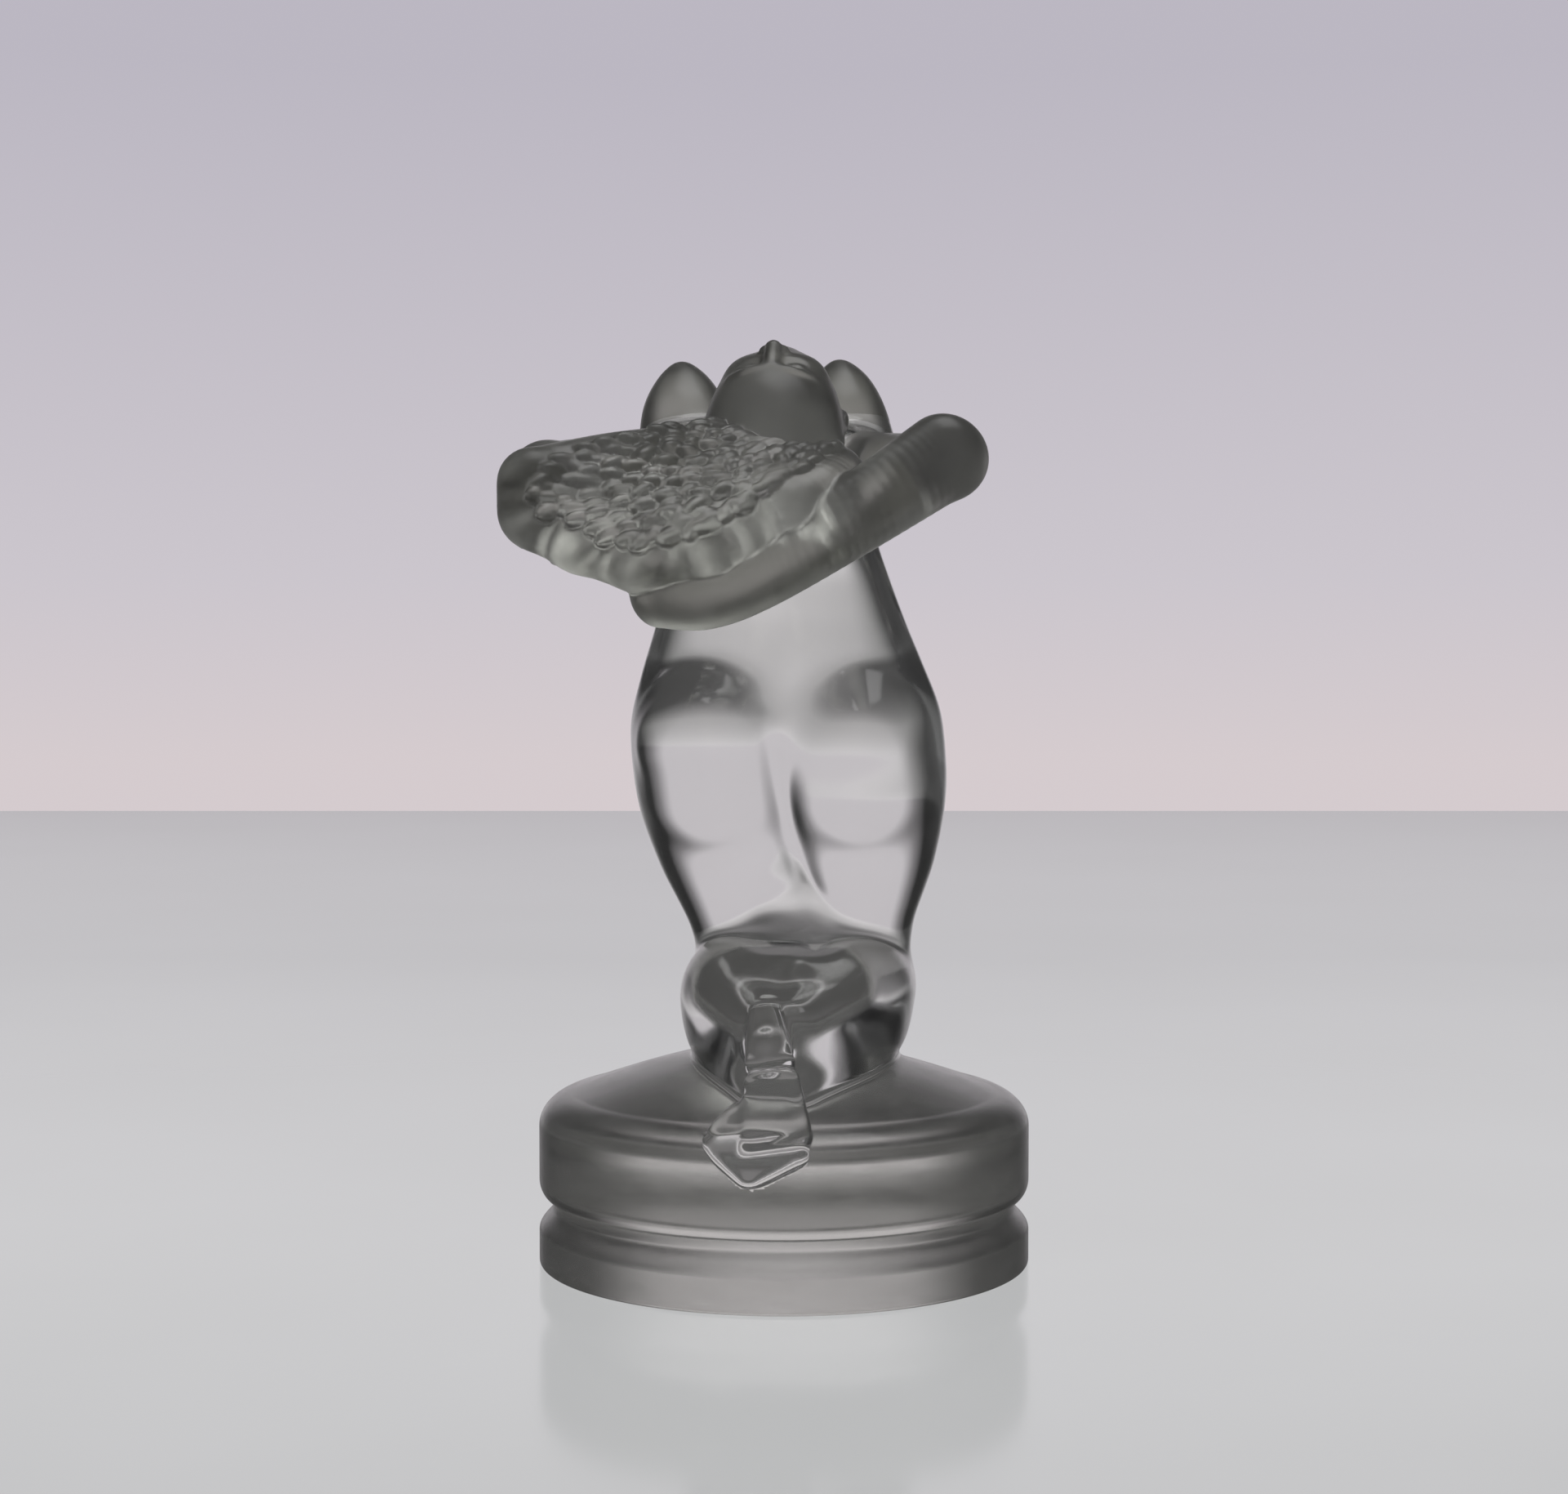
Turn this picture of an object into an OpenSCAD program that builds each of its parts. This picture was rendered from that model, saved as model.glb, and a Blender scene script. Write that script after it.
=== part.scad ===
// Moulded glass hood ornament: a kneeling figure thrown back on a round grooved base.
// Origin: centre of the base's underside. +Z up, +Y the way the figure faces, +X its right hand.
// The object is one moulding, so each node is a named region of it, and regions meet face to face.

/* [Base] */
// Outer diameter of the base, at its lower ring and its drum
base_d = 69; // [60:0.5:84]
// Straight height of the lower ring's wall, above its small bottom edge
ring_wall_h = 4.2; // [3:0.1:6]
// Rounding of the lower ring's bottom edge
foot_edge = 0.6; // [0.3:0.1:1]
// Depth of the clamp groove below the wall
groove_depth = 2.1; // [1:0.1:3]
// Height of the groove's curved lower side
groove_rise = 3.4; // [2.5:0.1:5]
// Height of the groove's straight inner wall
groove_floor_h = 1.2; // [0.8:0.1:3]
// Height over which the drum rounds out above the groove
lip_h = 2.6; // [2.2:0.1:4]
// Straight height of the drum's wall
drum_wall_h = 7.4; // [4:0.2:12]
// Height of the domed top above the drum's wall
dome_h = 11.2; // [6:0.2:16]
// Radial width of the rounded shoulder between wall and dome
shoulder_w = 6; // [3:0.5:9]

/* [Figure] */
// Height of the figure above the crown of the dome
figure_h = 98; // [80:1:122]
// Width over both knees
knee_w = 32.5; // [27:0.5:39]
// Width over the hips
hip_w = 44.5; // [37:0.5:54]
// Width of the waist
waist_w = 30; // [25:0.5:36]
// Width of the rib cage
chest_w = 35; // [29:0.5:42]
// Width of the head
head_w = 19; // [16:0.5:23]
// Distance between the tips of the elbows
elbow_span = 62; // [52:1:75]
// Thickness of the forearms
forearm_d = 9; // [7.5:0.5:11]
// Thickness of one lock of hair
lock_d = 8.6; // [7:0.2:10.5]
// Sideways curve of the body's middle line, as its lean at shoulder height
sway = 5.2; // [0:0.2:7]

/* [Hidden] */

base_r = base_d / 2;
groove_r = base_r - groove_depth;
ring_top = foot_edge + ring_wall_h;
neck_top = ring_top + groove_rise + groove_floor_h;
drum_top = neck_top + lip_h + drum_wall_h;
dome_top = drum_top + dome_h;
// Radius at which the lip above the groove turns into its rounded edge
lip_step = 0.3;
lip_r = groove_r + lip_step;
// Share of the dome's height that the rounded shoulder takes, and the angle it turns through
shoulder_share = 0.42;
shoulder_sweep = 78;

// The figure's height has 98 parts, and one part is the unit of every place on the figure
canon = 98;
u = figure_h / canon;
// Facets round a section of the body, and hull steps along one limb
facets = 14;
steps = 8;
turn_fn = 96;

clear_glass = [0.88, 0.88, 0.88, 0.45];
satin_glass = [0.46, 0.48, 0.46, 0.9];
base_glass = [0.62, 0.61, 0.60, 0.75];

// ---- base profiles, as [radius, height] points ----

arc_n = 12;
function quarter(cx, cy, rx, ry, a0, a1) =
    [for (i = [0:arc_n]) let (a = a0 + (a1 - a0) * i / arc_n) [cx + rx * cos(a), cy + ry * sin(a)]];
// Smooth S from the ring's wall in to the groove's inner wall
function groove_curve() =
    [for (i = [1:arc_n]) let (t = i / arc_n)
        [base_r - groove_depth * (1 - cos(180 * t)) / 2, ring_top + groove_rise * t]];
// Dome: an elliptical shoulder, then a shallow crown
shoulder_r = base_r - shoulder_w;
function shoulder_curve() =
    quarter(shoulder_r, drum_top, shoulder_w, dome_h * shoulder_share, 0, shoulder_sweep);
function crown_curve() =
    let (p = shoulder_curve()[arc_n])
    [for (i = [1:arc_n]) let (t = i / arc_n)
        [p[0] * (1 - t), p[1] + (dome_top - p[1]) * sin(90 * t)]];

module base_ring_shape() {
    rotate_extrude($fn = turn_fn)
        polygon(concat([[0, 0]], quarter(base_r - foot_edge, foot_edge, foot_edge, foot_edge, -90, 0),
            [[base_r, ring_top], [0, ring_top]]));
}

module base_neck_shape() {
    rotate_extrude($fn = turn_fn)
        polygon(concat([[0, ring_top], [base_r, ring_top]], groove_curve(),
            [[groove_r, neck_top], [0, neck_top]]));
}

module base_drum_shape() {
    rotate_extrude($fn = turn_fn)
        polygon(concat([[0, neck_top], [lip_r, neck_top]],
            quarter(lip_r, neck_top + lip_h, base_r - lip_r, lip_h, -90, 0),
            [[base_r, drum_top], [0, drum_top]]));
}

module base_dome_shape() {
    rotate_extrude($fn = turn_fn)
        polygon(concat([[0, drum_top]], shoulder_curve(), crown_curve()));
}

// What the legs and feet are cut by, so that they rest on the base and don't enter it
module base_cutter() {
    base_dome_shape();
    base_drum_shape();
}

// ---- figure: ellipsoid stations [x, y, z, rx, ry, rz], joined by hulls ----

// A place on the figure: x in mm, y and z in parts of its height above the dome's crown
function st(x, y, z, rx, ry, rz) = [x + lean(z), y * u, dome_top + z * u, rx, ry * u, rz * u];
// Sideways place of the body's middle line at a height
lean_start = 1.9;
shoulder_h = 80;
function lean(z) = lean_start - sway * pow(z / shoulder_h, 2);
// Catmull-Rom curve through stations
function pick(s, i) = s[max(0, min(len(s) - 1, i))];
function blend(a, b, c, d, t) =
    0.5 * (2 * b + (c - a) * t + (2 * a - 5 * b + 4 * c - d) * t * t
        + (3 * b - a - 3 * c + d) * t * t * t);
function along(s, t) =
    let (k = min(len(s) - 2, floor(t * (len(s) - 1))), f = t * (len(s) - 1) - k)
    blend(pick(s, k - 1), pick(s, k), pick(s, k + 1), pick(s, k + 2), f);

module blob(s) {
    translate([s[0], s[1], s[2]])
        scale([s[3], s[4], s[5]])
            sphere(r = 1, $fn = facets);
}

module limb(s) {
    for (i = [0:steps - 1])
        hull() {
            blob(along(s, i / steps));
            blob(along(s, (i + 1) / steps));
        }
}

// Half widths and the places that follow from them
buttock_r = 11.2;
buttock_x = hip_w / 2 - buttock_r;
knee_r = 8;
thigh_r = 11;
knee_x = knee_w / 2 - knee_r;
elbow_r = 4.8;
elbow_x = elbow_span / 2 - elbow_r;
breast_x = chest_w * 0.32;
breast_r = 6.6;
arm_r = forearm_d / 2;
lock_r = lock_d / 2;
head_r = head_w / 2;

module pelvis_shape() {
    limb([
        st(-buttock_x, -3.6, 41, buttock_r, 10.5, 11),
        st(0, -2, 42, buttock_r, 9.8, 11),
        st(buttock_x, -3.6, 41, buttock_r, 10.5, 11)
    ]);
    limb([
        st(-buttock_x, 3, 43, buttock_r - 0.4, 8, 12),
        st(0, 4, 43, buttock_r, 8.5, 11),
        st(buttock_x, 3, 43, buttock_r - 0.4, 8, 12)
    ]);
}

module abdomen_shape() {
    limb([
        st(0, 0.5, 48, hip_w / 2 - 1.4, 11.5, 9),
        st(0, 2, 59, (hip_w + waist_w) / 4 - 0.4, 10.5, 7),
        st(0, 3, 70, waist_w / 2, 9, 6)
    ]);
}

module chest_shape() {
    limb([
        st(0, 3, 71, waist_w / 2 + 0.2, 9, 5),
        st(0, 0, 78, chest_w / 2 - 0.6, 9.8, 6),
        st(0, -6, 83, chest_w / 2, 9, 6.4)
    ]);
}

module breast_shape(side) {
    limb([
        st(side * breast_x + 1.2, 1.5, 83.4, breast_r, 6.6, 5.4),
        st(side * breast_x + 1.2, 3.6, 89, breast_r * 0.84, 5.4, 4.2),
        st(side * breast_x + 1.4, 5.4, 95.2, 1, 1, 1)
    ]);
}

module thigh_shape(side) {
    limb([
        st(side * (buttock_x - 0.6), 1, 37, thigh_r, 11, 9),
        st(side * (buttock_x - 1.4), 4, 27, thigh_r - 1.2, 10.4, 8),
        st(side * (knee_x - 0.9), 8.5, 12.5, knee_r - 0.3, 8.6, 8)
    ]);
}

module lower_leg_shape(side) {
    limb([
        st(side * knee_x, 8.5, 7.6, knee_r, 8.4, 8.2),
        st(side * (knee_x + 0.2), -3, 7, knee_r * 0.98, 8.4, 8.2),
        st(side * (knee_x * 0.66), -14, 4.6, 6.4, 6.4, 6.8),
        st(side * 1.6, -22.5, 4, 4.4, 4.4, 4.8)
    ]);
}

// The feet are crossed at the ankles and hang down over the rear edge of the base
module right_foot_shape() {
    limb([
        st(-1.4, -24, 5.8, 3, 3.2, 3.4),
        st(-0.2, -29.5, 0.2, 3.8, 3.2, 4.4),
        st(1.8, -34.6, -8.6, 5, 2.6, 3.4)
    ]);
}

module left_foot_shape() {
    limb([
        st(-4.6, -26.6, 0.4, 3, 3.4, 3.4),
        st(-5.8, -32, -5.8, 3.6, 3, 3.6),
        st(-1.8, -34.8, -12, 2.4, 1.8, 2.2)
    ]);
}

module neck_shape() {
    limb([
        st(1, -6, 80, 6.8, 6, 5.4),
        st(4, -12, 82, 6, 5.8, 5.6),
        st(5, -16, 84, 6, 5.8, 5.4)
    ]);
}

module head_shape() {
    limb([
        st(5.4, -22, 82.6, head_r, 7.8, 7.8),
        st(5, -16.5, 87.4, head_r * 0.9, 8, 7.2),
        st(4.6, -9.6, 93.4, head_r * 0.42, 3.6, 4.2)
    ]);
}

module upper_arm_shape(side) {
    limb([
        st(side * (chest_w / 2 - 4) + 1, -6, 79.8, 6.4, 6, 5.8),
        st(side * (elbow_x - 4.6) + 2, -20, 79.2, 5.2, 5.4, 4.8),
        st(side * elbow_x + 2.4, -33, 78.6 + side, elbow_r, elbow_r, elbow_r)
    ]);
}

module right_forearm_shape() {
    limb([
        st(elbow_x + 2.2, -34.5, 79, arm_r, arm_r, arm_r),
        st(17, -38.5, 73, arm_r, arm_r, arm_r),
        st(4.5, -42, 65.4, arm_r * 0.9, arm_r * 0.86, arm_r)
    ]);
}

module right_hand_shape() {
    limb([
        st(4.5, -42.2, 65.4, arm_r * 0.86, arm_r * 0.8, arm_r * 0.94),
        st(-3, -44, 62.8, arm_r, arm_r * 0.8, arm_r * 0.9),
        st(-8.6, -45, 63, arm_r * 0.9, arm_r * 0.66, arm_r * 1.05)
    ]);
}

module left_forearm_shape() {
    limb([
        st(-elbow_x + 2.4, -33.2, 77.7, arm_r, arm_r, arm_r),
        st(-14, -31, 76.5, arm_r * 0.95, arm_r, arm_r),
        st(-5, -28, 74.8, arm_r * 0.86, arm_r * 0.9, arm_r * 0.9)
    ]);
}

module left_hand_shape() {
    limb([
        st(-5, -28, 75, arm_r * 0.8, arm_r * 0.84, arm_r * 0.84),
        st(2, -27, 73.4, arm_r * 0.9, arm_r * 0.8, arm_r * 0.7),
        st(8, -26.5, 73, arm_r * 0.8, arm_r * 0.7, arm_r * 0.6)
    ]);
}

// Six locks fan out from the crown of the head to the free edge of the hair:
// [start x, y, z, middle x, y, z, end x, y, z] for each
lock_paths = [
    [-3, -25, 81, -14, -36, 79, -23.4, -44.6, 76.4],
    [1, -28, 79.6, -11, -39, 76, -23.4, -46, 72.4],
    [4, -30, 78, -6, -41, 73.4, -17.6, -46.4, 69.2],
    [7, -32, 77.6, -1, -42, 72, -10.4, -46.4, 66.8],
    [10, -32, 77.4, 5, -40.4, 72.6, -2, -45, 68],
    [13, -30, 77.6, 12, -37, 75, 8, -41, 72.6]
];
module lock_shape(k) {
    p = lock_paths[k - 1];
    limb([
        st(p[0], p[1], p[2], lock_r, lock_r, lock_r),
        st(p[3], p[4], p[5], lock_r * 1.06, lock_r, lock_r * 1.06),
        st(p[6], p[7], p[8], lock_r, lock_r * 0.8, lock_r)
    ]);
}

// ---- nodes: each region is cut by its neighbours that come before it ----

module base_ring() {
    color(base_glass)
        base_ring_shape();
}

module base_neck() {
    color(base_glass)
        base_neck_shape();
}

module base_drum() {
    color(base_glass)
        base_drum_shape();
}

module base_dome() {
    color(base_glass)
        base_dome_shape();
}

module pelvis() {
    color(clear_glass)
        pelvis_shape();
}

module abdomen() {
    color(clear_glass)
        difference() {
            abdomen_shape();
            pelvis_shape();
        }
}

module chest() {
    color(clear_glass)
        difference() {
            chest_shape();
            abdomen_shape();
        }
}

module breast(side) {
    color(satin_glass)
        difference() {
            breast_shape(side);
            chest_shape();
            if (side < 0)
                breast_shape(1);
        }
}

module thigh(side) {
    color(clear_glass)
        difference() {
            thigh_shape(side);
            pelvis_shape();
            abdomen_shape();
            if (side < 0)
                thigh_shape(1);
        }
}

module lower_leg(side) {
    color(clear_glass)
        difference() {
            lower_leg_shape(side);
            base_cutter();
            thigh_shape(1);
            thigh_shape(-1);
            if (side < 0)
                lower_leg_shape(1);
        }
}

module legs_shape() {
    lower_leg_shape(1);
    lower_leg_shape(-1);
}

module right_foot() {
    color(clear_glass)
        difference() {
            right_foot_shape();
            base_cutter();
            legs_shape();
        }
}

module left_foot() {
    color(clear_glass)
        difference() {
            left_foot_shape();
            base_cutter();
            legs_shape();
            right_foot_shape();
        }
}

module trunk_shape() {
    chest_shape();
    breast_shape(1);
    breast_shape(-1);
}

module neck() {
    color(satin_glass)
        difference() {
            neck_shape();
            trunk_shape();
        }
}

module head() {
    color(satin_glass)
        difference() {
            head_shape();
            trunk_shape();
            neck_shape();
        }
}

module upper_arm(side) {
    color(satin_glass)
        difference() {
            upper_arm_shape(side);
            trunk_shape();
            neck_shape();
            head_shape();
        }
}

module arms_shape() {
    upper_arm_shape(1);
    upper_arm_shape(-1);
}

module right_forearm() {
    color(satin_glass)
        difference() {
            right_forearm_shape();
            arms_shape();
        }
}

module right_hand() {
    color(satin_glass)
        difference() {
            right_hand_shape();
            right_forearm_shape();
        }
}

module left_forearm() {
    color(satin_glass)
        difference() {
            left_forearm_shape();
            arms_shape();
            head_shape();
        }
}

module left_hand() {
    color(satin_glass)
        difference() {
            left_hand_shape();
            left_forearm_shape();
            head_shape();
        }
}

module hair_support_shape() {
    head_shape();
    arms_shape();
    right_forearm_shape();
    right_hand_shape();
    left_forearm_shape();
    left_hand_shape();
}

module hair_lock(k) {
    color(satin_glass)
        difference() {
            lock_shape(k);
            hair_support_shape();
            for (j = [1:1:k - 1])
                lock_shape(j);
        }
}

base_ring();
base_neck();
base_drum();
base_dome();
pelvis();
abdomen();
chest();
breast(1);  // right_breast
breast(-1);  // left_breast
thigh(1);  // right_thigh
thigh(-1);  // left_thigh
lower_leg(1);  // right_lower_leg
lower_leg(-1);  // left_lower_leg
right_foot();
left_foot();
neck();
head();
upper_arm(1);  // right_upper_arm
upper_arm(-1);  // left_upper_arm
right_forearm();
left_forearm();
right_hand();
left_hand();
hair_lock(1);  // hair_lock_1
hair_lock(2);  // hair_lock_2
hair_lock(3);  // hair_lock_3
hair_lock(4);  // hair_lock_4
hair_lock(5);  // hair_lock_5
hair_lock(6);  // hair_lock_6
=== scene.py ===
"""Moulded glass hood ornament: a kneeling figure on a grooved base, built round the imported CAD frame."""
import math

import bmesh
import bpy
import numpy as np
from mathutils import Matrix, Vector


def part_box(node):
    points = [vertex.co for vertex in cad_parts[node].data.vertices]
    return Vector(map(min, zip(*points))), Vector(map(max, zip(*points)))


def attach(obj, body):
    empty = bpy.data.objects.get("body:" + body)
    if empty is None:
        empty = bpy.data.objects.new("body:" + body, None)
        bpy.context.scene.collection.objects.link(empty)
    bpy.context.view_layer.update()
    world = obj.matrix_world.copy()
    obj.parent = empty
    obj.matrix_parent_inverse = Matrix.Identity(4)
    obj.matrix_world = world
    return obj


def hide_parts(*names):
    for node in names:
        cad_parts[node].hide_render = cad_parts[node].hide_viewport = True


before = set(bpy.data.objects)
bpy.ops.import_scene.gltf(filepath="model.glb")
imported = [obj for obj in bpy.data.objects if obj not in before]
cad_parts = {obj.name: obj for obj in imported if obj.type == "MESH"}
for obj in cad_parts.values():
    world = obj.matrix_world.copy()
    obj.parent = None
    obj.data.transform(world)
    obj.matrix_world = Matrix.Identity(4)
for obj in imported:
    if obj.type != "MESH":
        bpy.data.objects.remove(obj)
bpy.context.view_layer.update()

import openvdb
from mathutils import Matrix, Vector

MM = 0.001

# ---------------------------------------------------------------- sizes, in mm, from the CAD frame


def node_box(name):
    low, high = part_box(name)
    return np.array(low) / MM, np.array(high) / MM


ring_low, ring_high = node_box("base_ring")
BASE_R = (ring_high[0] - ring_low[0]) / 2
RING_TOP = ring_high[2]
NECK_TOP = node_box("base_neck")[1][2]
DRUM_TOP = node_box("base_drum")[1][2]
DOME_TOP = node_box("base_dome")[1][2]

GROOVE_DEPTH = 2.1
GROOVE_RISE = 3.4
FOOT_EDGE = 0.6
LIP_H = 2.6
LIP_STEP = 0.3
SHOULDER_W = 6.0
SHOULDER_SHARE = 0.42
SHOULDER_SWEEP = 78
DOME_H = DOME_TOP - DRUM_TOP
SEAM_Z = 15.5  # height at which the turned drum hands over to the sculpted skin

VOXEL = 0.36
FAR = 9.0
MARGIN = 3.0

# ---------------------------------------------------------------- a distance field on a voxel grid


class Field:
    """Signed distance on a regular grid, negative inside, with smooth unions and cuts."""

    def __init__(self, low, high, step):
        self.step = step
        self.low = np.array(low, dtype=np.float64)
        counts = np.ceil((np.array(high) - self.low) / step).astype(int) + 1
        self.data = np.full(counts, FAR, dtype=np.float32)
        self.axes = [(self.low[i] + step * np.arange(counts[i])).astype(np.float32) for i in range(3)]

    def window(self, low, high):
        first = np.floor((np.array(low) - self.low) / self.step).astype(int)
        last = np.ceil((np.array(high) - self.low) / self.step).astype(int) + 1
        first = np.clip(first, 0, self.data.shape)
        last = np.clip(last, 0, self.data.shape)
        return tuple(slice(a, b) for a, b in zip(first, last))

    def coords(self, win):
        x, y, z = (self.axes[i][win[i]] for i in range(3))
        return x[:, None, None], y[None, :, None], z[None, None, :]

    def sample(self, points):
        """Trilinear value at each row of points."""
        place = (np.asarray(points) - self.low) / self.step
        place = np.clip(place, 0, np.array(self.data.shape) - 1.001)
        cell = place.astype(int)
        f = (place - cell).astype(np.float32)
        total = np.zeros(len(place), dtype=np.float32)
        for corner in range(8):
            bits = [(corner >> i) & 1 for i in range(3)]
            weight = np.ones(len(place), dtype=np.float32)
            for i, bit in enumerate(bits):
                weight *= f[:, i] if bit else 1 - f[:, i]
            total += weight * self.data[cell[:, 0] + bits[0], cell[:, 1] + bits[1], cell[:, 2] + bits[2]]
        return total

    def normals(self, points, reach=0.8):
        """Unit gradient at each row of points."""
        h = self.step * reach
        grad = np.stack([self.sample(points + h * axis) - self.sample(points - h * axis)
                         for axis in np.eye(3)], axis=1)
        return grad / np.maximum(np.linalg.norm(grad, axis=1, keepdims=True), 1e-6)


def smooth_min(a, b, k):
    if k <= 0:
        return np.minimum(a, b)
    h = np.maximum(k - np.abs(a - b), 0) / k
    return np.minimum(a, b) - h * h * (k / 4)


def smooth_max(a, b, k):
    return -smooth_min(-a, -b, k)


def ellipsoid(xyz, centre, radii, turn=None):
    x, y, z = (xyz[i] - np.float32(centre[i]) for i in range(3))
    if turn is not None:
        x, y, z = (np.float32(turn[i][0]) * x + np.float32(turn[i][1]) * y + np.float32(turn[i][2]) * z
                   for i in range(3))
    rx, ry, rz = (np.float32(r) for r in radii)
    k0 = np.sqrt((x / rx) ** 2 + (y / ry) ** 2 + (z / rz) ** 2)
    k1 = np.sqrt((x / rx ** 2) ** 2 + (y / ry ** 2) ** 2 + (z / rz ** 2) ** 2)
    return k0 * (k0 - 1) / np.maximum(k1, 1e-6)


def catmull(points, t):
    """Catmull-Rom through the rows of points, at t from 0 to 1."""
    points = np.asarray(points, dtype=np.float64)
    last = len(points) - 1
    k = min(last - 1, int(t * last))
    f = t * last - k
    a, b, c, d = (points[max(0, min(last, i))] for i in (k - 1, k, k + 1, k + 2))
    return 0.5 * (2 * b + (c - a) * f + (2 * a - 5 * b + 4 * c - d) * f ** 2
                  + (3 * b - a - 3 * c + d) * f ** 3)


def limb_part(field, stations, spacing, turn):
    """Window and distance of ellipsoids set closely along the stations [x, y, z, rx, ry, rz]."""
    stations = np.asarray(stations, dtype=np.float64)
    length = np.linalg.norm(np.diff(stations[:, :3], axis=0), axis=1).sum()
    count = max(2, int(length / spacing) + 1) if len(stations) > 1 else 1
    rows = [catmull(stations, i / (count - 1)) for i in range(count)] if count > 1 else [stations[0]]
    rows = np.array(rows)
    reach = np.repeat(rows[:, 3:].max(axis=1, keepdims=True), 3, axis=1) if turn is not None else rows[:, 3:]
    win = field.window((rows[:, :3] - reach).min(0) - MARGIN, (rows[:, :3] + reach).max(0) + MARGIN)
    start = [s.start for s in win]
    part = np.full([s.stop - s.start for s in win], FAR, dtype=np.float32)
    for row, r in zip(rows, reach):
        sub = field.window(row[:3] - r - MARGIN, row[:3] + r + MARGIN)
        local = tuple(slice(s.start - o, s.stop - o) for s, o in zip(sub, start))
        d = ellipsoid(field.coords(sub), row[:3], row[3:], turn)
        part[local] = np.minimum(part[local], d)
    return win, part


def add_limb(field, stations, k, spacing=0.9, turn=None):
    win, part = limb_part(field, stations, spacing, turn)
    field.data[win] = smooth_min(field.data[win], part, k)


def cut_limb(field, stations, k, spacing=0.6, turn=None):
    win, part = limb_part(field, stations, spacing, turn)
    field.data[win] = smooth_max(field.data[win], -part, k)


def soften(data, sigma):
    """Gaussian blur of the field, separable, with sigma in voxels."""
    reach = int(math.ceil(sigma * 2.5))
    weights = np.exp(-0.5 * (np.arange(-reach, reach + 1) / sigma) ** 2)
    weights = (weights / weights.sum()).astype(np.float32)
    for axis in range(3):
        pad = [(reach, reach) if i == axis else (0, 0) for i in range(3)]
        wide = np.pad(data, pad, mode="edge")
        out = np.zeros_like(data)
        for i, w in enumerate(weights):
            cut = [slice(None)] * 3
            cut[axis] = slice(i, i + data.shape[axis])
            out += w * wide[tuple(cut)]
        data = out
    return data


def unit(v):
    v = np.asarray(v, dtype=np.float64)
    return v / np.linalg.norm(v)


# ---------------------------------------------------------------- the base's profile, as (radius, height)


def arc(cx, cz, rx, rz, start, end, n):
    angles = np.radians(np.linspace(start, end, n + 1))
    return [(cx + rx * math.cos(a), cz + rz * math.sin(a)) for a in angles]


def dome_profile(n=40, grow=0.0):
    """From the drum's wall in to the axis."""
    shoulder = arc(BASE_R - SHOULDER_W, DRUM_TOP, SHOULDER_W + grow, DOME_H * SHOULDER_SHARE + grow,
                   0, SHOULDER_SWEEP, n // 2)
    r0, z0 = shoulder[-1]
    top = DOME_TOP + grow
    crown = [(r0 * (1 - t), z0 + (top - z0) * math.sin(math.pi / 2 * t)) for t in np.linspace(0, 1, n)[1:]]
    return shoulder + crown


def dome_height(r):
    points = dome_profile()[::-1]
    return np.interp(r, [p[0] for p in points], [p[1] for p in points])


# ---------------------------------------------------------------- places on the figure

LEAN_START = 1.9
SWAY = 5.2
SHOULDER_H = 80.0


def lean(z):
    return LEAN_START - SWAY * (z / SHOULDER_H) ** 2


def st(x, y, z, rx, ry, rz):
    """A station: x from the body's middle line, y from the axis, z above the dome's crown."""
    return [x + lean(z), y, DOME_TOP + z, rx, ry, rz]


def place(x, y, z):
    return np.array(st(x, y, z, 0, 0, 0)[:3])


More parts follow.
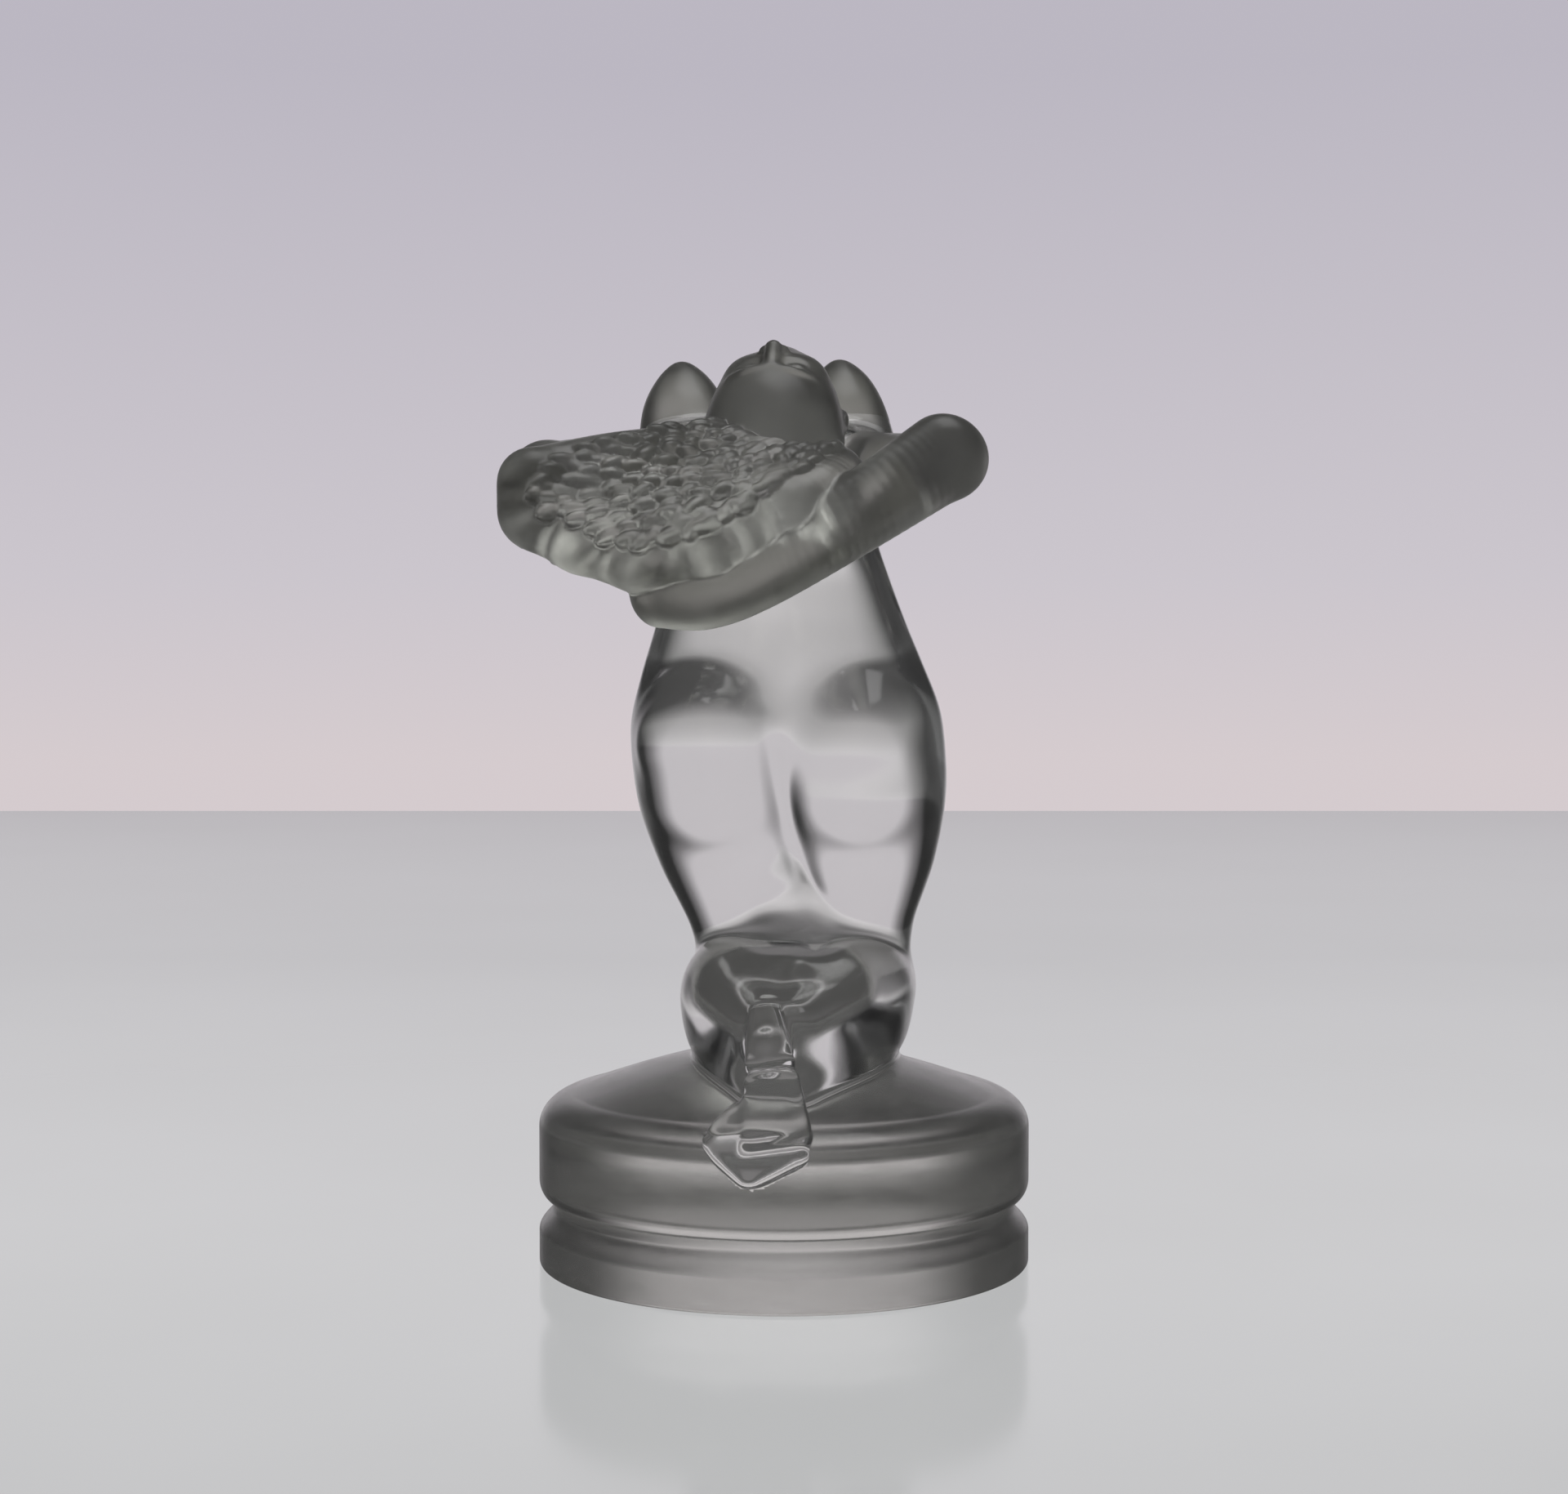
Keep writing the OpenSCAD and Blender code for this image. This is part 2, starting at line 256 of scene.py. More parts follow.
def build_body(field):
    """Trunk, thighs and lower legs in one smooth skin."""
    add_limb(field, [
        st(0, 2.5, 28, 17.6, 9, 9), st(0, 1.5, 35, 20.4, 9.8, 9), st(0, 0.6, 43, 21.5, 10.6, 8),
        st(0, 1, 50, 20.7, 10.2, 8),
        st(0, 3.0, 58, 18.1, 8.9, 7.4), st(0, 4.4, 65, 16.1, 7.9, 7), st(0, 3.6, 71, 15, 8.0, 6),
        st(0, 0.6, 77, 15.8, 9, 6), st(0, -5, 82, 16.4, 8.4, 5.8),
    ], 0)
    for side in (1, -1):
        fuller = 0.5 if side < 0 else -0.5
        add_limb(field, [st(side * 10, -5.8 - fuller, 42 + fuller, 9.9 + fuller, 9.8 + fuller, 9.4),
                         st(side * 9.8, -4.6, 36, 9.8, 9.6, 9)], 4.0)
        add_limb(field, [
            st(side * 10.8, 0.5, 44, 10.2, 10, 9), st(side * 10.8, 1.2, 36, 10.6, 10.3, 9),
            st(side * 10, 3.4, 27.5, 9.9, 9.9, 8),
            st(side * 8.3, 6.4, 18.5, 8.2, 9, 7), st(side * 7.6, 9, 12, 7.7, 8.6, 7),
        ], 3.4)
    # Cleft behind, fold in front, groove of the spine
    cut_limb(field, [st(-0.4, -17.4, 46, 1.2, 3.2, 2), st(-0.2, -14.6, 38, 1.3, 4.2, 3),
                     st(0.6, -11.0, 29, 1.5, 4.8, 3), st(2.4, -7.2, 21, 2.0, 4.8, 3),
                     st(3.4, -4.6, 16, 2, 4, 2)], 2.4)
    cut_limb(field, [st(0, 15.6, 33, 1.0, 2.2, 2), st(0, 17.6, 24, 1.2, 2.6, 3),
                     st(0, 18.4, 14, 1.2, 2.6, 3)], 3.4)
    cut_limb(field, [st(0, -11.6, 84, 1.4, 2.4, 2), st(0, -7.2, 74, 1.5, 2.2, 3),
                     st(-0.2, -7.8, 62, 1.3, 2, 3), st(-0.2, -13.4, 50, 1, 2, 2)], 3.4)
    for side in (1, -1):
        add_limb(field, [
            st(side * 8.2, 9, 7.4, 8, 8.4, 8.2), st(side * 8.4, -2, 7, 7.9, 8.4, 8.2),
            st(side * 6.6, -12, 5, 6.8, 7, 7), st(side * 2.4, -21.5, 4, 4.4, 4.6, 5),
        ], 1.2)
        add_limb(field, [st(side * 7.6, 8, 1.5, 7.2, 7.8, 6), st(side * 7.6, -3, 1.5, 7, 7.8, 6),
                         st(side * 5.4, -13, 0, 5.6, 6, 6), st(side * 2, -22, -1.5, 4, 4.4, 5)], 3.0)
    add_limb(field, [st(0, 7, 19, 10, 9, 9), st(0, 4, 10, 12, 11, 9)], 2.0)
    add_limb(field, [st(0, 1, 8, 9, 8, 7), st(0, -8, 7.6, 9, 7.6, 6.6), st(0, -15, 5.4, 6, 6, 6),
                     st(0, -22, 3, 4, 4, 5)], 2.6)


def build_front(field):
    """Breasts; the rest of the far side is kept smooth."""
    for side in (1, -1):
        add_limb(field, [
            st(side * 11.2 + 1.2, 1.5, 83.2, 7.2, 7.0, 5.6), st(side * 11.2 + 1.2, 3.0, 88.6, 6.2, 6.2, 4.6),
            st(side * 11.3 + 1.4, 4.6, 92.4, 4.4, 4.4, 3.2), st(side * 11.3 + 1.4, 5.4, 95.0, 2.2, 2.2, 1.8),
        ], 2.2, spacing=0.4)


HEAD_TILT = 0.44


def head_frame():
    """Origin and axes of the head, thrown back: right, towards the crown, and out of the face."""
    face = unit([0.0, -HEAD_TILT, 0.9])
    right = np.array([1.0, 0.0, 0.0])
    crown = np.cross(right, face) * -1
    if crown[1] > 0:
        crown = -crown
    return place(5.0, -16.8, 86.0), right, crown, face


def build_head(field):
    origin, right, crown, face = head_frame()
    turn = np.array([right, crown, face])

    def at(x, up, out, rx, ru, ro):
        return [*(origin + right * x + crown * up + face * out), rx, ru, ro]

    def add(rows, k, spacing=0.4):
        add_limb(field, [at(*r) for r in rows], k, spacing, turn)

    def cut(rows, k, spacing=0.4):
        cut_limb(field, [at(*r) for r in rows], k, spacing, turn)

    add_limb(field, [st(1, -6, 79.6, 6.6, 6, 5.2), st(4.2, -12, 81.6, 5.8, 5.8, 5.4)], 3.0, 0.5)
    add([(0, 2.8, -1.5, 9.5, 9.2, 9.4)], 2.0)
    add([(0, -2.2, 1.8, 7.9, 8.8, 7.0)], 3.0)
    add([(0, -7.6, 3.0, 4.2, 3.4, 3.4)], 3.0)
    add([(0, -9.2, 5.0, 2.2, 1.6, 1.9)], 1.8)
    for side in (1, -1):
        add([(side * 3.9, -2.6, 5.4, 2.2, 2.4, 2.0)], 2.0)
        cut([(side * 3.0, 0.5, 9.4, 1.7, 1.0, 1.4)], 1.6)
        add([(side * 3.0, 0.3, 7.3, 1.5, 0.9, 0.9)], 0.4)
        add([(side * 1.2, 2.0, 8.1, 0.6, 0.5, 0.5), (side * 3.2, 2.4, 7.9, 0.7, 0.5, 0.5),
             (side * 5.2, 1.6, 6.6, 0.5, 0.4, 0.4)], 1.0)
        add([(side * 8.9, -1.0, -0.6, 0.9, 2.5, 1.5)], 0.6)
        cut([(side * 9.9, -0.6, -0.2, 0.7, 1.4, 0.8)], 0.5)
    add([(0, 1.4, 8.2, 0.7, 0.8, 0.7), (0, -2.4, 9.7, 1.1, 1.1, 0.9)], 1.0)
    add([(-1.2, -3.1, 8.9, 0.8, 0.8, 0.7), (1.2, -3.1, 8.9, 0.8, 0.8, 0.7)], 0.7)
    add([(-2.0, -5.5, 7.2, 0.4, 0.4, 0.4), (0, -5.1, 8.2, 0.7, 0.6, 0.6),
         (2.0, -5.5, 7.2, 0.4, 0.4, 0.4)], 0.5, 0.3)
    add([(-1.6, -6.3, 7.0, 0.4, 0.4, 0.4), (0, -6.5, 7.8, 0.9, 0.6, 0.6),
         (1.6, -6.3, 7.0, 0.4, 0.4, 0.4)], 0.5, 0.3)


def build_arms(field):
    """Upper arms run back from the shoulders, forearms fold behind the head."""
    for side in (1, -1):
        add_limb(field, [
            st(side * 12.6 + 1, -5, 79.8, 6.2, 6, 5.8), st(side * 20.5 + 2, -17, 79.4, 5.2, 5.4, 4.9),
            st(side * 26.2 + 2.4, -33, 78.6 + side, 4.7, 4.7, 4.7),
        ], 3.0)
    add_limb(field, [st(27.6, -34, 79.8, 5.4, 4.7, 5.6), st(17, -38.5, 73, 4.6, 4.4, 5.2),
                     st(4.5, -42, 66, 4.2, 4, 5.2), st(-3, -44, 63, 4.4, 3.6, 5.0),
                     st(-8.6, -45, 63, 4, 3, 4.8)], 1.5)
    add_limb(field, [st(-23.8, -33, 77.6, 4.6, 4.6, 4.6), st(-14, -31, 76.6, 4.3, 4.4, 4.4),
                     st(-5, -28, 75, 4, 4, 4)], 1.5)


LOCKS = [
    [(-3, -25, 81), (-14, -36, 79), (-23.4, -44.6, 76.4)],
    [(1, -28, 79.6), (-11, -39, 76), (-23.4, -46, 72.4)],
    [(4, -30, 78), (-6, -41, 73.4), (-17.6, -46.4, 69.2)],
    [(7, -32, 77.6), (-1, -42, 72), (-10.4, -46.4, 66.8)],
    [(10, -32, 77.4), (5, -40.4, 72.6), (-2, -45, 68)],
    [(13, -30, 77.6), (12, -37, 75), (8, -41, 72.6)],
]
LOCK_POINTS = np.array([[place(*p) for p in lock] for lock in LOCKS])
LOCK_R = 4.3
CURL_REACH = 1.05  # how far the curls run along a lock, past its end


def hair_point(u, v):
    """A point on the sheet through the locks: u across them, v along them and a little past their ends."""
    across = np.array([catmull(lock, min(1.0, v)) + max(0.0, v - 1.0) * (lock[2] - lock[1]) * 2
                       for lock in LOCK_POINTS])
    return catmull(across, u)


def hair_axes(u, v):
    e = 0.03
    along = unit(hair_point(u, v + e) - hair_point(u, max(0, v - e)))
    across = hair_point(min(1, u + e), v) - hair_point(max(0, u - e), v)
    out = unit(np.cross(along, across))
    if out[1] > 0:
        out = -out
    across = np.cross(out, along)
    return along, across, out


def jitter(i, j, salt):
    """A repeatable number from -1 to 1."""
    value = math.sin(12.99 * i + 78.23 * j + 37.7 * salt) * 4375.85
    return 2 * (value - math.floor(value)) - 1


def to_surface(field, start, direction, reach=14.0):
    """First point at which a walk from outside meets the skin."""
    steps = np.arange(0, reach, field.step * 0.5)
    points = start + steps[:, None] * direction
    inside = np.nonzero(field.sample(points) < 0)[0]
    return points[inside[0]] if len(inside) else None


def build_hair(field):
    for lock in LOCK_POINTS:
        add_limb(field, [[*p, LOCK_R, LOCK_R * 0.95, LOCK_R] for p in lock], 1.2)
    add_limb(field, [[*lock[2], LOCK_R * 0.92, LOCK_R * 0.85, LOCK_R * 0.92] for lock in LOCK_POINTS], 1.2)
    base = Field(field.low, field.low + 1, field.step)
    base.data, base.axes = field.data.copy(), field.axes
    curls(field, base, rows=19, pitch=3.6, side=1)
    curls(field, base, rows=16, pitch=4.4, side=-1)


def curls(field, base, rows, pitch, side):
    """Short overlapping waves in staggered rows, each lifted at its lower end like a scale."""
    for i in range(rows):
        u = (i + 0.5) / rows
        length = np.linalg.norm(hair_point(u, 0) - hair_point(u, 1))
        count = int(length / pitch) + 2
        for j in range(count):
            v = (j + 0.5 * (i % 2) + 0.25 * jitter(i, j, 1)) / count
            v = CURL_REACH * min(1.0, max(0.0, v))
            along, across, out = hair_axes(u, v)
            out = out * side
            p = hair_point(u, v) + across * 0.35 * jitter(i, j, 2)
            hit = to_surface(base, p + out * 9, -out, 9)
            if hit is None:
                continue
            lift = math.radians(16 + 8 * jitter(i, j, 3))
            swing = math.radians(12 * jitter(i, j, 4) + (10 if i % 2 else -10))
            along2 = along * math.cos(swing) + across * math.sin(swing)
            long_axis = unit(along2 * math.cos(lift) + out * math.sin(lift))
            side_axis = unit(np.cross(out, long_axis))
            top_axis = np.cross(long_axis, side_axis)
            size = pitch * (0.62 + 0.08 * jitter(i, j, 5))
            add_limb(field, [[*(hit - out * 0.15), size, size * 0.54, 1.3]], 0.15,
                     turn=np.array([long_axis, side_axis, top_axis]))


def slab(field, axis, half_widths, thickness, normal, k, round_edge=1.4):
    """A tapering flat bar along a bent axis, with rounded edges, such as a foot seen from its sole."""
    axis = np.asarray(axis, dtype=np.float64)
    wide = max(half_widths) + MARGIN + thickness
    win = field.window(axis.min(0) - wide, axis.max(0) + wide)
    x, y, z = field.coords(win)
    part = None
    for a, b, wa, wb in zip(axis[:-1], axis[1:], half_widths[:-1], half_widths[1:]):
        along = unit(b - a)
        out = unit(normal - along * np.dot(normal, along))
        across = np.cross(along, out)
        size = np.linalg.norm(b - a)
        dx, dy, dz = x - a[0], y - a[1], z - a[2]
        t = dx * along[0] + dy * along[1] + dz * along[2]
        n = dx * out[0] + dy * out[1] + dz * out[2]
        w = dx * across[0] + dy * across[1] + dz * across[2]
        half = wa + (wb - wa) * np.clip(t / size, -0.2, 1.2)
        d = smooth_max(np.abs(w) - half, np.abs(n) - thickness / 2, round_edge)
        d = smooth_max(d, np.maximum(-t, t - size), round_edge)
        part = d if part is None else smooth_min(part, d, 0.6)
    field.data[win] = smooth_min(field.data[win], part.astype(np.float32), k)


def build_upper_foot(field, k=1.0):
    slab(field, [place(-1.6, -24.6, 8.2), place(0.2, -31.0, 0.6), place(1.8, -36.0, -8.2)],
         (1.9, 3.5, 4.8), 3.8, np.array([0, -0.86, 0.5]), k)


def build_lower_foot(field, k=1.0):
    """A kite-shaped sole under the other foot, its toes pointing down."""
    outline = [(-2.5, 28.0), (-6.8, 23.2), (-6.3, 21.0), (-0.3, 16.4), (8.0, 20.4), (5.4, 28.0)]
    centre, thickness = np.array([0.0, -35.0, 21.0]), 3.4
    out = unit([0, -0.97, 0.22])
    win = field.window(centre - 14, centre + 14)
    x, y, z = field.coords(win)
    part = np.abs((x - centre[0]) * out[0] + (y - centre[1]) * out[1]
                  + (z - centre[2]) * out[2]) - thickness / 2
    for (x0, z0), (x1, z1) in zip(outline, outline[1:] + outline[:1]):
        length = math.hypot(x1 - x0, z1 - z0)
        edge = ((x - x0) * (z0 - z1) + (z - z0) * (x1 - x0)) / length
        part = smooth_max(part, -edge, 1.6)
    field.data[win] = smooth_min(field.data[win], part.astype(np.float32), k)


def build_feet(field):
    """Crossed feet that hang over the rear edge, soles to the rear."""
    add_limb(field, [st(-1.4, -22, 4.6, 3, 3.2, 4), st(-0.6, -28, 2.6, 2.6, 3, 3.4)], 1.2)
    build_upper_foot(field)
    build_lower_foot(field)


# ---------------------------------------------------------------- meshes


def new_mesh(name, points, faces, smooth=True):
    mesh = bpy.data.meshes.new(name)
    faces = np.asarray(faces, dtype=np.int32)
    mesh.vertices.add(len(points))
    mesh.vertices.foreach_set("co", np.asarray(points, dtype=np.float32).ravel())
    mesh.loops.add(faces.size)
    mesh.loops.foreach_set("vertex_index", faces.ravel())
    mesh.polygons.add(len(faces))
    mesh.polygons.foreach_set("loop_start", np.arange(0, faces.size, faces.shape[1], dtype=np.int32))
    mesh.polygons.foreach_set("use_smooth", np.full(len(faces), smooth))
    mesh.update(calc_edges=True)
    mesh.validate()
    return mesh


def mesh_from_field(name, field, level=0.0):
    grid = openvdb.FloatGrid()
    grid.background = FAR
    grid.copyFromArray(field.data)
    points, quads = grid.convertToQuads(isovalue=level)
    return new_mesh(name, (points * field.step + field.low) * MM, quads)


def tag(mesh, value):
    """Marks each face as skin (1) or as the inside of a seam (0)."""
    layer = mesh.attributes.new("skin", "INT", "FACE")
    layer.data.foreach_set("value", np.full(len(mesh.polygons), value, dtype=np.int32))


def add_object(name, mesh):
    obj = bpy.data.objects.new(name, mesh)
    bpy.context.scene.collection.objects.link(obj)
    return obj


def combine(mesh, tool, operation):
    """Boolean of two meshes, as a new mesh."""
    a, b = add_object("cut_a", mesh), add_object("cut_b", tool)
    modifier = a.modifiers.new("cut", "BOOLEAN")
    modifier.object, modifier.operation, modifier.solver = b, operation, "MANIFOLD"
    graph = bpy.context.evaluated_depsgraph_get()
    result = bpy.data.meshes.new_from_object(a.evaluated_get(graph))
    bpy.data.objects.remove(a)
    bpy.data.objects.remove(b)
    return result


def box_tool(point, normal, size=0.5):
    """A box with one face through the point, filling the side that the normal points away from."""
    bm = bmesh.new()
    bmesh.ops.create_cube(bm, size=size)
    rotation = Vector(normal).to_track_quat("Z", "Y").to_matrix().to_4x4()
    move = Matrix.Translation(Vector(point) * MM) @ rotation @ Matrix.Translation((0, 0, -size / 2))
    bm.transform(move)
    bmesh.ops.triangulate(bm, faces=bm.faces)
    mesh = bpy.data.meshes.new("tool")
    bm.to_mesh(mesh)
    bm.free()
    tag(mesh, 0)
    return mesh


def ball_tool(centre, radii, turn=None):
    bm = bmesh.new()
    bmesh.ops.create_icosphere(bm, subdivisions=4, radius=1)
    scale = Matrix.Diagonal([*(np.array(radii) * MM), 1])
    rotation = Matrix(np.array(turn).T.tolist()).to_4x4() if turn is not None else Matrix.Identity(4)
    bm.transform(Matrix.Translation(Vector(centre) * MM) @ rotation @ scale)
    mesh = bpy.data.meshes.new("tool")
    bm.to_mesh(mesh)
    bm.free()
    tag(mesh, 0)
    return mesh


def revolve(profile, segments):
    """Points of a profile turned about Z, row by row."""
    profile = np.asarray(profile)
    angles = np.arange(segments) * 2 * math.pi / segments
    points = np.stack([np.outer(profile[:, 0], np.cos(angles)), np.outer(profile[:, 0], np.sin(angles)),
                       np.repeat(profile[:, 1:2], segments, axis=1)], axis=2)
    return points.reshape(-1, 3)


SEGMENTS = 240


def turned_mesh(name, profile, smooth_angle=30.0):
    """A closed turned piece; its flat ends are seams unless they lie on the floor."""
    points = revolve(profile, SEGMENTS) * MM
    bm = bmesh.new()
    verts = [bm.verts.new(p) for p in points]
    rows = len(profile)
    for i in range(rows - 1):
        for j in range(SEGMENTS):
            k = (j + 1) % SEGMENTS
            a, b = i * SEGMENTS, (i + 1) * SEGMENTS
            bm.faces.new((verts[a + j], verts[a + k], verts[b + k], verts[b + j])).smooth = True
    bottom = bm.faces.new([verts[j] for j in reversed(range(SEGMENTS))])
    top = bm.faces.new([verts[(rows - 1) * SEGMENTS + j] for j in range(SEGMENTS)])
    top.material_index = 1
    bottom.material_index = 0 if profile[0][1] == 0 else 1
    mesh = bpy.data.meshes.new(name)
    bm.to_mesh(mesh)
    bm.free()
    mesh.set_sharp_from_angle(angle=math.radians(smooth_angle))
    return mesh


# ---------------------------------------------------------------- materials


def principled(name):
    mat = bpy.data.materials.new(name)
    mat.use_nodes = True
    return mat, mat.node_tree.nodes, mat.node_tree.links, mat.node_tree.nodes["Principled BSDF"]


def ramp(nodes, stops):
    node = nodes.new("ShaderNodeValToRGB")
    elements = node.color_ramp.elements
    while len(elements) < len(stops):
        elements.new(0.5)
    for element, (position, color) in zip(elements, stops):
        element.position = position
        element.color = (*color, 1) if len(color) == 3 else color
    return node


def glass(name, light, dark, rough, rough_spread, bump, bump_scale, ior=1.5, stretch=(1, 1, 1)):
    """Moulded glass: cloudy tone, uneven polish and a faintly rippled skin."""
    mat, nodes, links, shader = principled(name)
    shader.inputs["IOR"].default_value = ior
    shader.inputs["Transmission Weight"].default_value = 1.0
    where = nodes.new("ShaderNodeTexCoord")
    scale = nodes.new("ShaderNodeMapping")
    scale.inputs["Scale"].default_value = stretch
    links.new(where.outputs["Object"], scale.inputs["Vector"])

    def noise(size, detail=3.0):
        node = nodes.new("ShaderNodeTexNoise")
        node.inputs["Scale"].default_value = size
        node.inputs["Detail"].default_value = detail
        links.new(scale.outputs["Vector"], node.inputs["Vector"])
        return node

    tone = ramp(nodes, [(0.35, dark), (0.65, light)])
    links.new(noise(60).outputs["Fac"], tone.inputs["Fac"])
    links.new(tone.outputs["Color"], shader.inputs["Base Color"])
    polish = nodes.new("ShaderNodeMapRange")
    polish.inputs["From Min"].default_value = 0.35
    polish.inputs["From Max"].default_value = 0.65
    polish.inputs["To Min"].default_value = max(0.0, rough - rough_spread)
    polish.inputs["To Max"].default_value = rough + rough_spread
    links.new(noise(180).outputs["Fac"], polish.inputs["Value"])
    links.new(polish.outputs["Result"], shader.inputs["Roughness"])
    push = nodes.new("ShaderNodeBump")
    push.inputs["Strength"].default_value = bump
    push.inputs["Distance"].default_value = 0.0001
    links.new(noise(bump_scale, 4.0).outputs["Fac"], push.inputs["Height"])
    links.new(push.outputs["Normal"], shader.inputs["Normal"])
    return mat


def seam_material():
    """The inside of a joint between two regions of one moulding, which can't be seen."""
    mat, nodes, links, shader = principled("seam")
    shader.inputs["Alpha"].default_value = 0.0
    return mat


clear = glass("clear_glass", (0.95, 0.955, 0.945), (0.92, 0.925, 0.91), 0.11, 0.02, 0.04, 250)
# satin_glass's dark grey tint is painted shade: the same glass is near white in clear_glass and satin_base
satin = glass("satin_glass", (0.41, 0.415, 0.38), (0.32, 0.325, 0.29), 0.34, 0.05, 0.12, 700)
satin_base = glass("satin_base", (0.87, 0.875, 0.83), (0.81, 0.815, 0.765), 0.22, 0.03, 0.05, 500,
                   stretch=(1, 1, 3))
seam = seam_material()

# ---------------------------------------------------------------- sculpt the skin

low = np.array([-38.0, -53.5, SEAM_Z - 2.0])
high = np.array([38.0, 36.5, 132.0])
body = Field(low, high, VOXEL)
build_body(body)
build_front(body)
body.data = soften(body.data, 0.8 / VOXEL)
build_arms(body)
build_head(body)
solid_hair = Field(low, high, VOXEL)
build_hair(solid_hair)
body.data = smooth_min(body.data, solid_hair.data, 0.5)

everywhere = body.coords((slice(None),) * 3)
radius = np.sqrt(everywhere[0] ** 2 + everywhere[1] ** 2)
wall = radius - np.float32(BASE_R)
top = (everywhere[2] - dome_height(radius).astype(np.float32)) * np.float32(0.93)
base_part = np.maximum(np.maximum(wall, top), (SEAM_Z - 1.0) - everywhere[2])
body.data = smooth_min(body.data, base_part.astype(np.float32), 1.6)
build_feet(body)

skin = mesh_from_field("skin", body)
tag(skin, 1)

# ---------------------------------------------------------------- hand the skin out to the pieces


WALL_CATCH = 0.15   # a vertex this near the turned profile is put on it
SHOULDER_CATCH = 0.75  # share of the shoulder's height that is treated so


def true_up(points, normals):
    """Puts the base's wall and shoulder exactly on their turned profile."""
    r = np.hypot(points[:, 0], points[:, 1])
    rise = np.maximum(points[:, 2] - DRUM_TOP, 0) / (DOME_H * SHOULDER_SHARE)
    lean_in = np.sqrt(1 - np.minimum(rise, 0.9) ** 2)
    target = BASE_R - SHOULDER_W + SHOULDER_W * lean_in
    on = (rise < SHOULDER_CATCH) & (np.abs(r - target) < WALL_CATCH)
    points[on, :2] *= (target[on] / r[on])[:, None]
    side, up = lean_in[on] / SHOULDER_W, rise[on] / (DOME_H * SHOULDER_SHARE)
    size = np.hypot(side, up)
    normals[on] = np.stack([points[on, 0] / target[on] * side / size,
                            points[on, 1] / target[on] * side / size, up / size], axis=1)


def finish_piece(name, mesh, nodes, material):
    """Clean normals from the field on the skin, flat ones on the seams."""
    without_strays(mesh)
    count = len(mesh.vertices)
    points = np.zeros(count * 3, dtype=np.float32)
    mesh.vertices.foreach_get("co", points)
    points = points.reshape(-1, 3).astype(np.float64) / MM
    normals = body.normals(points)
    true_up(points, normals)
    mesh.vertices.foreach_set("co", (points * MM).astype(np.float32).ravel())
    faces = len(mesh.polygons)
    is_skin = np.zeros(faces, dtype=np.int32)
    mesh.attributes["skin"].data.foreach_get("value", is_skin)
    mesh.materials.clear()
    mesh.materials.append(material)
    mesh.materials.append(seam)
    mesh.polygons.foreach_set("material_index", (1 - is_skin).astype(np.int32))
    mesh.polygons.foreach_set("use_smooth", is_skin.astype(bool))
    mesh.update()
    face_normals = np.zeros(faces * 3, dtype=np.float32)
    mesh.polygons.foreach_get("normal", face_normals)
    face_normals = face_normals.reshape(-1, 3)
    totals = np.zeros(faces, dtype=np.int32)
    mesh.polygons.foreach_get("loop_total", totals)
    corner = np.zeros(len(mesh.loops), dtype=np.int32)
    mesh.loops.foreach_get("vertex_index", corner)
    loop_face = np.repeat(np.arange(faces), totals)
    loop_normals = np.where(is_skin[loop_face][:, None] == 1, normals[corner], face_normals[loop_face])
    mesh.normals_split_custom_set(loop_normals.tolist())
    mesh.attributes.remove(mesh.attributes["skin"])
    obj = add_object(name, mesh)
    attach(obj, "root")
    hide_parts(*nodes)
    obj.visible_shadow = False
    print("piece", name, faces)
    return obj


STRAY_FACES = 40
TOOL_GROW = 0.12  # a tool stands this far outside the skin that it cuts
DOME_GROW = 0.2


def without_strays(mesh):
    """Drops the tiny slivers that a cut can leave loose."""
    bm = bmesh.new()
    bm.from_mesh(mesh)
    seen, doomed = set(), []
    bm.faces.ensure_lookup_table()
    for face in bm.faces:
        if face.index in seen:
            continue
        seen.add(face.index)
        group, front = [face], [face]
        while front:
            item = front.pop()
            for edge in item.edges:
                for other in edge.link_faces:
                    if other.index not in seen:
                        seen.add(other.index)
                        group.append(other)
                        front.append(other)
        if len(group) < STRAY_FACES:
            doomed += group
    bmesh.ops.delete(bm, geom=doomed, context="FACES")
    bm.to_mesh(mesh)
    bm.free()
    return mesh


def split(mesh, tool):
    """What lies inside the tool, and what is left."""
    return combine(mesh, tool, "INTERSECT"), combine(mesh, tool, "DIFFERENCE")


def tool_from_field(build, low, high):
    field = Field(low, high, VOXEL)
    build(field)
    mesh = mesh_from_field("tool", field, TOOL_GROW)
    tag(mesh, 0)
    return mesh


def cut_at(mesh, point, normal):
    """Splits at a plane: first the side that the normal points away from."""
    return split(mesh, box_tool(point, normal))


dome_tool = turned_mesh("tool", [(BASE_R + DOME_GROW, SEAM_Z - 3)] + dome_profile(grow=DOME_GROW)[:-1]
                        + [(0.4, DOME_TOP + DOME_GROW)])
tag(dome_tool, 0)
figure = combine(skin, box_tool((0, 0, SEAM_Z), (0, 0, 1)), "DIFFERENCE")
dome, figure = split(figure, dome_tool)
finish_piece("dome_crown", dome, ["base_dome"], satin_base)

